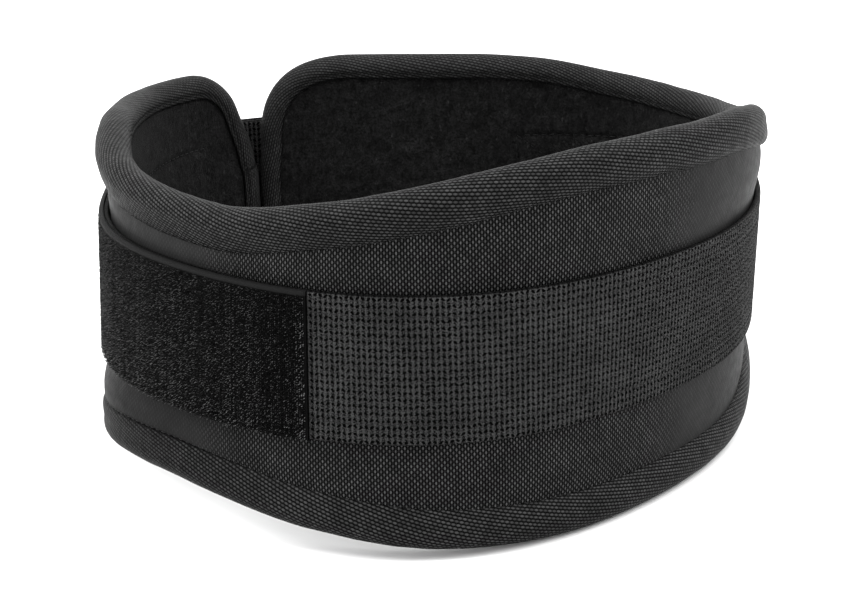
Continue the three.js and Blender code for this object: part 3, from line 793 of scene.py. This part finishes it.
def rim_section():
    """The binding's section as insets and distances outwards: from the valley where it meets the
    cover, over the padded bead, to its sewn edge on the lining."""
    valley = COVER_OUT - SEAM_PINCH + 0.1
    reach = BINDING_REACH_OUTSIDE - RIM_RADIUS
    way = np.array([0.995, 0.96, 0.91, 0.84, 0.75, 0.63, 0.5, 0.36, 0.2])
    points = [(BINDING_REACH_OUTSIDE + 0.1, valley - 0.5)]
    points += [(RIM_RADIUS + reach * w, valley + (RIM_OUT - valley) * (1 - w * w) ** 0.72) for w in way]
    for turn in np.radians(np.arange(90, -97, -11.5)):
        points.append((RIM_RADIUS - RIM_RADIUS * math.cos(turn), RIM_CENTRE + RIM_RADIUS * math.sin(turn)))
    edge = BINDING_REACH_INSIDE
    points += [(edge - 2.7, PAD_IN - 1.3), (edge - 1.8, PAD_IN - 0.8), (edge - 0.9, PAD_IN - 1.0)]
    points += [(edge - 0.2, PAD_IN - 0.85), (edge, PAD_IN - 0.1)]
    return np.array(points)


# The binding's lapped end, its swell at the left bend, and how full its outer flank is along the pad
LAP_FROM = 1.5
LAP_LENGTH = 11.5
LAP_THICKNESS = 0.35
LEFT_BEND_SWELL = 1.0
LEFT_BEND_AT = 125
LEFT_BEND_LENGTH = 45
FLANK_FULLNESS = ((-230, -170, -60, 20, 80), (-0.5, -0.5, 0, 0.4, 0.4))


def binding_piece(material):
    """The bias-cut tape folded over the pad's edge, with its soft bulges, the puckers that its seams
    draw into it and its lapped end."""
    section = rim_section()
    middle = np.array([RIM_RADIUS, RIM_CENTRE])
    around = path_lengths(section)
    tangent = np.gradient(section, axis=0)
    tangent /= np.hypot(*tangent.T)[:, None]
    normal = np.stack([tangent[:, 1], -tangent[:, 0]], 1)
    normal *= np.sign(((section - middle) * normal).sum(1))[:, None]
    normal[:2], normal[-2:] = (0, 1), (0, -1)
    step = np.hypot(*np.diff(EDGE, axis=0).T).mean()
    run = np.arange(len(EDGE)) * step
    to_end = around[-1] - around
    bead = np.clip(1 - hump(around, 3) - hump(to_end, 3), 0, 1)
    lift = wander(run, 3.1, 41)[:, None] * 0.14 * hump(around, 6)[None]
    lift = lift + wander(run, 3.4, 42)[:, None] * 0.14 * hump(to_end, 5)[None]
    lift = lift + wander(run[:, None] + around[None] * 0.5, 6.5, 43) * 0.09 * bead
    lift = lift + wander(run, 37, 44)[:, None] * 0.22 * bead
    lapped = smooth_step((run - LAP_FROM) / 0.8) * smooth_step((LAP_FROM + LAP_LENGTH - run) / 0.8)
    lift = lift + LAP_THICKNESS * lapped[:, None] * np.clip(bead + 0.4, 0, 1)
    seat = np.clip((EDGE[:, 1] - 14) / 6, 0, 1)[:, None]
    lift = lift * seat + np.minimum(lift, 0) * (1 - seat)
    flank = np.clip((section[:, 0] - RIM_RADIUS) / (BINDING_REACH_OUTSIDE - RIM_RADIUS), 0, 1)
    flank = 4 * flank * (1 - flank) * (section[:, 1] > RIM_CENTRE)
    fuller = np.interp(EDGE[:, 0], *FLANK_FULLNESS)
    lift = lift + fuller[:, None] * flank[None]
    bend = hump(EDGE[:, 0] - LEFT_END - LEFT_BEND_AT, LEFT_BEND_LENGTH) * (EDGE[:, 1] > WEBBING_MIDDLE)
    surface = section[None] + normal[None] * lift[..., None]
    surface[..., 1] += LEFT_BEND_SWELL * bend[:, None] * np.clip(to_end / 8, 0, 1) * np.clip(around / 6, 0, 1)
    inside = np.repeat((section - normal * BINDING_THICKNESS * 0.7)[None], len(EDGE), 0)
    inside[:, :2] = section[:2] - (0.9, 0.3)
    inside[:, -2:] = section[-2:] - (0.9, 0.02)
    outer_share = smooth_step((section[:, 1] - PAD_IN) / (COVER_OUT - PAD_IN))
    grids = []
    for grid in (surface, inside):
        along = EDGE[:, 0, None] + EDGE_INWARD[:, 0, None] * grid[..., 0]
        up = EDGE[:, 1, None] + EDGE_INWARD[:, 1, None] * grid[..., 0]
        points = place(along, grid[..., 1] + pad_swell(along, up, grid[..., 0]) * outer_share, up)
        points[..., 2] = np.maximum(points[..., 2], 0)
        grids.append(points)
    flat = np.stack(np.broadcast_arrays(run[:, None], around[None]), -1)
    made = slab(*grids, flat, ring=True)
    piece = object_from("rim_binding", *made, material, "binding_nylon", ["edge_binding"])
    return piece


def webbing_out(along):
    """Distance outwards of the webbing's outer face where it runs once round the pad."""
    on_right = np.where(along < LEFT_END, along + PERIMETER, along)
    to_end = np.maximum(0, np.minimum(np.abs(along - LEFT_END), RIGHT_END - on_right))
    to_end = np.where((along < LEFT_END) & (on_right > RIGHT_END), 0, to_end)
    way = to_end / BINDING_REACH_OUTSIDE
    return RIM_CLEARING * table_value(RIM_CROSSING["way"], RIM_CROSSING["lift"], way)


WEBBING_SAG = 1.4


def webbing_middle(along):
    """The webbing's middle height, a little lower where it hangs over the opening."""
    opening = LEFT_END - END_GAP / 2
    return WEBBING_MIDDLE - WEBBING_SAG * hump(along - opening, 30)


def turn_round_bar(bar, bulge):
    radius = BUCKLE_BAR / 2 + CLEARANCE + WEBBING_THICKNESS / 2
    angle = np.linspace(-math.pi / 2, math.pi / 2, 24)
    return np.stack([bar + bulge * radius * np.cos(angle), BAR_OUT + radius * np.sin(angle)], 1)


def webbing_path():
    """The middle of the webbing's thickness, from the end sewn under the anchor bar, round that bar,
    once round the belt, round the tail bar and back over the opening to the tip."""
    half = WEBBING_THICKNESS / 2
    sewn_tip = ANCHOR_BAR - ANCHOR_OVERLAP
    under = np.arange(sewn_tip, ANCHOR_BAR - 0.5, 1.0)
    parts = [np.stack([under, np.full(len(under), -half)], 1), turn_round_bar(ANCHOR_BAR, 1)]

    tail_bar = TAIL_BAR - PERIMETER
    run = np.arange(ANCHOR_BAR - 1, tail_bar + 0.5, -1.0)
    down = smooth_step((ANCHOR_BAR - run) / ANCHOR_RAMP)
    off = smooth_step((sewn_tip - TIP_ROOM - run) / ANCHOR_RAMP)
    doubled = (FOLD_OUT * (1 - down) + DOUBLED_OUT * down) * (1 - off)
    parts.append(np.stack([run, np.maximum(doubled, 0) + webbing_out(run) - half], 1))
    parts.append(turn_round_bar(tail_bar, -1))

    tip = LEFT_END + TAIL_OVERLAP
    back = np.arange(tail_bar + 1, tip + 0.5, 1.0)
    clear = webbing_out(back) + TAIL_STANDS
    sinks = smooth_step((back - LEFT_END + 14) / 14)
    out = np.maximum(clear, FOLD_OUT) * (1 - sinks) + clear * sinks
    parts.append(np.stack([back, out - half], 1))
    points = np.concatenate(parts)
    lengths = path_lengths(points)
    at = np.arange(0, lengths[-1], WEBBING_COLUMN / 2)
    return along_path(points, lengths, at), at


def across_path(path):
    """Directions square to a path in the flat pattern, on the belt's outside where it heads left."""
    heading = np.gradient(path, axis=0)
    heading /= np.hypot(*heading.T)[:, None]
    return np.stack([heading[:, 1], -heading[:, 0]], 1)


def webbing_piece(material):
    """The webbing with its ribs and rows as relief on both faces and round, denser edges."""
    path, at = webbing_path()
    side = across_path(path)
    rows = np.arange(0, 2 * WEBBING_ROWS + 1) * (WEBBING_ROW / 2) - WEBBING_WIDTH / 2
    rows = np.sort(np.concatenate([rows, (0.25 - WEBBING_WIDTH / 2, WEBBING_WIDTH / 2 - 0.25)]))
    from_edge = WEBBING_WIDTH / 2 - np.abs(rows)
    round_edge = np.sqrt(1 - np.clip(1 - from_edge / 0.8, 0, 1) ** 2)
    half = WEBBING_THICKNESS / 2 * (0.3 + 0.7 * round_edge)
    columns = np.cos(TURN * at / WEBBING_COLUMN)
    between = np.cos(TURN * (rows + WEBBING_WIDTH / 2) / WEBBING_ROW + math.pi)
    relief = (0.2 * columns[:, None] + 0.06 * between[None]) * np.clip(from_edge / 1.5, 0, 1)[None]
    wavy = 0.12 * wander(at, 31, 51)[:, None] * (np.abs(rows) / 25)[None] ** 2
    sewn = ((path[:, 0] < RIGHT_SEAM) & (path[:, 0] > LEFT_SEAM) & (path[:, 1] < 0.5))[:, None]
    seam = 0.3 * hump(np.abs(rows) - SEAM_UP, 0.9)[None] * sewn
    grids = []
    for sign in (1, -1):
        shift = sign * (half[None] + relief) + wavy - np.where(sign > 0, seam, 0)
        along = path[:, 0, None] + side[:, 0, None] * shift
        out = path[:, 1, None] + side[:, 1, None] * shift
        middle = webbing_middle(path[:, 0, None])
        grids.append(place(along, out, middle - rows[None] + np.zeros_like(along)))
    flat = np.stack(np.broadcast_arrays(at[:, None], rows[None] + WEBBING_WIDTH / 2), -1)
    made = slab(grids[0], grids[1], flat)
    piece = object_from("belt_webbing", *made, material, "webbing", ["webbing_strap"])
    return piece


# The hook tape, a little wider than the webbing, and its hooks. Each ring of a hook's stem: distance
# to its side, share of the height, and radius
HOOK_COLUMN = 0.82
HOOK_ROW = 0.66
HOOK_HEIGHT = 0.8
HOOK_STEM = ((0, 0, 0.12), (0.3, 1, 0.1))
TIP_MARK = 100
TAPE_THICKNESS = 1.4
TAPE_WIDTH = 50.2
TAPE_START = 126
SELVAGE = 1.4
SEWN_END = 0.8
TAPE_STANDS_OFF = 0.12


def tape_out(along):
    return webbing_out(along) + TAPE_STANDS_OFF


def hook_tape_piece(ground):
    """The hook tape's ground, with rolled selvages and a thick cut end."""
    last = LEFT_END + PANEL_TO_END
    along = np.concatenate([-TAPE_START - np.array([0, 0.15, 0.6]), np.arange(-TAPE_START - 1.5, last, -1.2)])
    rows = np.linspace(-0.475, 0.475, 29)
    rows = np.concatenate([[-0.5, -0.494, -0.485], rows, [0.485, 0.494, 0.5]]) * TAPE_WIDTH
    from_edge = TAPE_WIDTH / 2 - np.abs(rows)
    rolled = np.sqrt(1 - np.clip(1 - from_edge / 0.9, 0, 1) ** 2)
    roll = 0.35 * hump(from_edge - 0.9, 0.8) * (rows < 0)
    from_end = np.clip((-TAPE_START - along) / 0.6, 0, 1)[:, None]
    worn_down = 0.25 * hump(from_edge - 2.4, 0.6)
    thick = TAPE_THICKNESS * (0.25 + 0.75 * rolled) + roll - worn_down
    thick = thick[None] * (0.55 + 0.45 * np.sqrt(from_end))
    back = np.repeat(tape_out(along)[:, None], len(rows), 1)
    up = WEBBING_MIDDLE - rows[None] + np.zeros_like(back)
    places = np.repeat(along[:, None], len(rows), 1)
    flat = np.stack([-TAPE_START - places, rows[None] + np.zeros_like(places)], -1)
    made = slab(place(places, back + thick, up), place(places, back, up), flat)
    tape = object_from("hook_tape", *made, ground, "hook_tape", ["hook_panel"])
    return tape


def hook_field(plastic):
    """Short slanted hooks in uneven columns over the tape, each facing up or down by chance."""
    random = np.random.default_rng(61)
    columns = np.arange(-TAPE_START - SEWN_END, LEFT_END + PANEL_TO_END + 1.2, -HOOK_COLUMN)
    levels = np.arange(SELVAGE + 0.8 - TAPE_WIDTH / 2, TAPE_WIDTH / 2 - 0.3, HOOK_ROW)
    column, level = [grid.ravel() for grid in np.meshgrid(columns, levels, indexing="ij")]
    column = column + random.uniform(-0.1, 0.1, len(column))
    level = level + random.uniform(-0.3, 0.3, len(level))
    facing = np.where(random.random(len(column)) < 0.5, 1, -1) + random.uniform(-0.35, 0.35, len(column))
    height = HOOK_HEIGHT * random.uniform(0.7, 1.15, len(column))
    base = tape_out(column) + TAPE_THICKNESS - 0.15
    lean = random.uniform(-0.2, 0.2, len(column))
    rings = []
    for over, rise, thick in HOOK_STEM:
        for turn in (0, TURN / 3, 2 * TURN / 3):
            dx, dz = thick * math.cos(turn), thick * math.sin(turn)
            ring_up = WEBBING_MIDDLE - level + facing * over * 0.8 + dz
            out = base + height * rise + 0.3 * dz * (rise > 0.5)
            rings.append(place(column + lean * rise + dx * 1.3, out, ring_up))
    points = np.stack(rings, 1).reshape(-1, 3)
    sides = [(3 * ring + k, 3 * ring + (k + 1) % 3) for ring in range(len(HOOK_STEM) - 1) for k in range(3)]
    pattern = np.array([(a, b, b + 3, a + 3) for a, b in sides])
    quads = (np.arange(len(column))[:, None, None] * len(rings) + pattern[None]).reshape(-1, 4)
    rise = np.repeat([rise for over, rise, thick in HOOK_STEM], 3)
    flat = np.repeat(np.stack([column, level], 1), len(rings), 0)
    flat[:, 1] += TIP_MARK * np.tile(rise, len(column))
    return object_from("hook_field", points, quads, flat, plastic, "hook_tape")


# One stitch: shares of its length with its girth there
STITCH = ((0, 0.25), (0.15, 0.8), (0.5, 1.0), (0.85, 0.8), (1, 0.25))
STITCH_SIDES = 6

# Length, spacing and thickness of the stitches
BINDING_STITCH = (2.6, 3.4, 0.34)
WEBBING_STITCH = (2.8, 3.6, 0.4)


def stitch_row(places, length, pitch):
    """Starts, middles and ends of the stitches along a row of places given as along, out and up."""
    lengths = path_lengths(places)
    starts = np.arange(0.3, lengths[-1] - length, pitch)
    return [along_path(places, lengths, starts + length * share) for share in (0, 0.5, 1)]


def stitches(name, rows, material, thickness):
    """One piece of many stitches, in rows that each lie on the pad's outer or inner face."""
    ring = np.arange(STITCH_SIDES)
    pattern = []
    for k in range(len(STITCH) - 1):
        a, b = k * STITCH_SIDES + ring, k * STITCH_SIDES + (ring + 1) % STITCH_SIDES
        pattern.append(np.stack([a, a + STITCH_SIDES, b + STITCH_SIDES, b], 1))
    last = (len(STITCH) - 1) * STITCH_SIDES
    pattern.append([(0, 1, 2, 3), (0, 3, 4, 5), (last + 3, last + 2, last + 1, last)])
    pattern.append([(last + 5, last + 4, last + 3, last)])
    pattern = np.concatenate(pattern)
    per = len(STITCH) * STITCH_SIDES
    turn = ring * TURN / STITCH_SIDES
    all_points, all_quads, base = [], [], 0
    for (start, middle, end), outward in rows:
        heading = end - start
        heading[:, 1] = 0
        heading /= np.linalg.norm(heading, axis=1)[:, None]
        rings = []
        for share, girth in STITCH:
            arc = math.sin(math.pi * share)
            spot = start * (1 - share) + end * share + (middle - (start + end) / 2) * arc
            reach = girth * thickness / 2
            along = spot[:, 0, None] - heading[:, 2, None] * np.cos(turn) * reach
            up = spot[:, 2, None] + heading[:, 0, None] * np.cos(turn) * reach
            out = spot[:, 1, None] + outward * (0.28 * arc - 0.16 + np.sin(turn) * reach)
            rings.append(place(along, out, up))
        all_points.append(np.stack(rings, 1).reshape(-1, 3))
        numbers = np.arange(len(start))[:, None, None] * per + base
        faces = pattern if outward > 0 else pattern[:, ::-1]
        all_quads.append((numbers + faces[None]).reshape(-1, 4))
        base += len(start) * per
    lengthwise = np.repeat([share * 3 for share, girth in STITCH], STITCH_SIDES)
    flat = np.stack([lengthwise, np.tile(ring * 0.2, len(STITCH))], 1)
    flat = np.tile(flat, (base // per, 1))
    made = (np.concatenate(all_points), np.concatenate(all_quads), flat)
    return object_from(name, *made, material, "binding_nylon")


def flat_row(along, out, up):
    return np.stack(np.broadcast_arrays(*np.atleast_1d(along, out, up)), 1).astype(float)


def binding_stitches(material):
    """The rows that hold the binding, one on each face of the pad."""
    closed = np.concatenate([EDGE, EDGE[:1]])
    inward = np.concatenate([EDGE_INWARD, EDGE_INWARD[:1]])
    rows = []
    outer = (BINDING_REACH_OUTSIDE, COVER_OUT - SEAM_PINCH - 0.05, 1)
    inner = (BINDING_REACH_INSIDE - 1.8, PAD_IN - 0.75, -1)
    for inset, out, outward in (outer, inner):
        at = closed + inward * inset
        out = out + pad_swell(*at.T, inset) * (outward > 0)
        row = flat_row(at[:, 0], out, at[:, 1])
        rows.append((stitch_row(row, *BINDING_STITCH[:2]), outward))
    return stitches("binding_stitches", rows, material, BINDING_STITCH[2])


def webbing_stitches(material):
    """The rows that hold the webbing on the pad, seen on the webbing and again on the lining."""
    inside = PAD_IN + 0.75
    seen = np.arange(-TAPE_START + 1, RIGHT_SEAM, 2.0)
    whole = np.arange(LEFT_SEAM, RIGHT_SEAM, 2.0)
    box = np.linspace(RIGHT_SEAM - BOX_LENGTH, RIGHT_SEAM, 30)
    height = np.linspace(WEBBING_MIDDLE - SEAM_UP, WEBBING_MIDDLE + SEAM_UP, 30)
    rows = []
    for side in (1, -1):
        level = WEBBING_MIDDLE + side * SEAM_UP
        rows.append((flat_row(seen, -0.2, level), 1))
        rows.append((flat_row(whole, inside, level), -1))
        rows.append((flat_row(box, inside, height[::side]), -1))
    for at in (LEFT_SEAM, RIGHT_SEAM, RIGHT_SEAM - BOX_LENGTH):
        rows.append((flat_row(at, inside, height), -1))
    rows = [(stitch_row(places, *WEBBING_STITCH[:2]), outward) for places, outward in rows]
    return stitches("webbing_stitches", rows, material, WEBBING_STITCH[2])


def loop_piece(material):
    """The clasp's plain loop of round wire."""
    wire = BUCKLE_BAR / 2
    half_height = WEBBING_WIDTH / 2 + BUCKLE_SIDE_ROOM + wire
    corner_along = BUCKLE_PITCH / 2 - BUCKLE_CORNER
    corner_up = half_height - BUCKLE_CORNER
    signs = ((1, 1), (-1, 1), (-1, -1), (1, -1))
    along, up, angle = [], [], []
    for quarter, (along_sign, up_sign) in enumerate(signs):
        turn = quarter * math.pi / 2 + np.linspace(0, math.pi / 2, 9)
        angle.append(turn)
        along.append(np.full(9, (ANCHOR_BAR + TAIL_BAR) / 2 + along_sign * corner_along))
        up.append(np.full(9, WEBBING_MIDDLE + up_sign * corner_up))
    along, up, angle = [np.concatenate(part)[:, None] for part in (along, up, angle)]
    turn = np.arange(20)[None] * TURN / 20
    reach = BUCKLE_CORNER + wire * np.cos(turn)
    points = place(along + reach * np.cos(angle), BAR_OUT + wire * np.sin(turn), up + reach * np.sin(angle))
    n, m = points.shape[:2]
    number = np.arange(n * m).reshape(n, m)
    number = np.concatenate([number, number[:1]])
    number = np.concatenate([number, number[:, :1]], 1)
    quads = np.concatenate([strip(number[:, j + 1], number[:, j]) for j in range(m)])
    flat = np.stack(np.broadcast_arrays(np.arange(n)[:, None] * 2.0, turn * wire), -1)
    shape = (points.reshape(-1, 3), quads, flat.reshape(-1, 2))
    return object_from("wire_loop", *shape, material, "loop_metal", ["buckle_loop"])


# Light: where each soft box stands, its size and its power
SOFT_BOXES = {
    "left_softbox": ((-0.8, -0.15, 1.1), (0.6, 0.9), 21),
    "right_softbox": ((0.85, -0.1, 0.95), (0.6, 0.9), 14.5),
    "top_softbox": ((0.1, 0.35, 1.4), (1.2, 1.0), 5),
}
SURROUND = 1.75
FLOOR_HALF = 6.0
FLOOR_WHITE = 0.72


def studio():
    """A plain white floor, soft lights and an even white surround."""
    mesh = bpy.data.meshes.new("floor")
    h = FLOOR_HALF
    mesh.from_pydata([(-h, -h, 0), (h, -h, 0), (h, h, 0), (-h, h, 0)], [], [(0, 1, 2, 3)])
    floor = put("floor", mesh)
    material = bpy.data.materials.new("floor_white")
    material.use_nodes = True
    surface = material.node_tree.nodes["Principled BSDF"]
    surface.inputs["Base Color"].default_value = (FLOOR_WHITE, FLOOR_WHITE, FLOOR_WHITE, 1)
    surface.inputs["Roughness"].default_value = 0.9
    surface.inputs["Specular IOR Level"].default_value = 0.1
    mesh.materials.append(material)

    world = bpy.data.worlds.new("surround")
    world.use_nodes = True
    world.node_tree.nodes["Background"].inputs[0].default_value = (1, 1, 1, 1)
    world.node_tree.nodes["Background"].inputs[1].default_value = SURROUND
    bpy.context.scene.world = world
    for name, (location, size, power) in SOFT_BOXES.items():
        light = bpy.data.lights.new(name, "AREA")
        light.shape = "RECTANGLE"
        light.size, light.size_y = size
        light.energy = power
        made = put(name, light)
        made.location = location
        toward = Vector((0, 0, 0.06)) - Vector(location)
        made.rotation_euler = toward.to_track_quat("-Z", "Y").to_euler()
    bpy.context.scene.view_settings.view_transform = "Standard"


# The camera that fits the photograph, 857 by 600 pixels
PHOTO_WIDTH = 857
FOCAL_PIXELS = 2328.3
SENSOR = 36
CAMERA_DISTANCE = 0.87707
CAMERA_ELEVATION = 17.318
CAMERA_ROLL = -1.585
CAMERA_TARGET = (-0.00219, 0.0045, 0.04511)


def photo_camera():
    data = bpy.data.cameras.new("photo_camera")
    data.sensor_width = SENSOR
    data.lens = FOCAL_PIXELS * SENSOR / PHOTO_WIDTH
    camera = put("photo_camera", data)
    e, r = math.radians(CAMERA_ELEVATION), math.radians(CAMERA_ROLL)
    back = Vector((0, -math.cos(e), math.sin(e)))
    right = Vector((1, 0, 0))
    up = back.cross(right)
    x_axis = right * math.cos(r) + up * math.sin(r)
    y_axis = up * math.cos(r) - right * math.sin(r)
    turned = Matrix((x_axis, y_axis, back)).transposed()
    stands_at = Vector(CAMERA_TARGET) + back * CAMERA_DISTANCE
    camera.matrix_world = Matrix.Translation(stands_at) @ turned.to_4x4()
    bpy.context.scene.camera = camera


def pad():
    """Foam, cover, lining and binding."""
    rows = 0.5 - 0.5 * np.cos(np.linspace(0, math.pi, 41))
    foam = pad_layer("pad_foam", pad_grid(1.5, 4, rows), foam_surfaces, foam_rubber(), "foam", "foam_core")

    outer = pad_grid(COVER_EDGE, 1.5, np.linspace(0, 1, 48))
    cover = pad_layer("pad_cover", outer, cover_surfaces, cover_nylon(), "cover_nylon", "outer_cover")
    inner = lining_grid()
    lining = pad_layer("pad_lining", inner, lining_surfaces, felt_cloth(), "lining_cloth", "lining")
    for piece, grid, edge in ((cover, outer, COVER_EDGE), (lining, inner, LINING_EDGE)):
        flat_area(*grid)
    binding_piece(binding_nylon())


photo_camera()
studio()
pad()
webbing_piece(webbing_cloth())
hook_tape_piece(hook_ground())
hook_field(hook_plastic())
thread = sewing_thread()
binding_stitches(thread)
webbing_stitches(thread)
loop_piece(satin_steel())
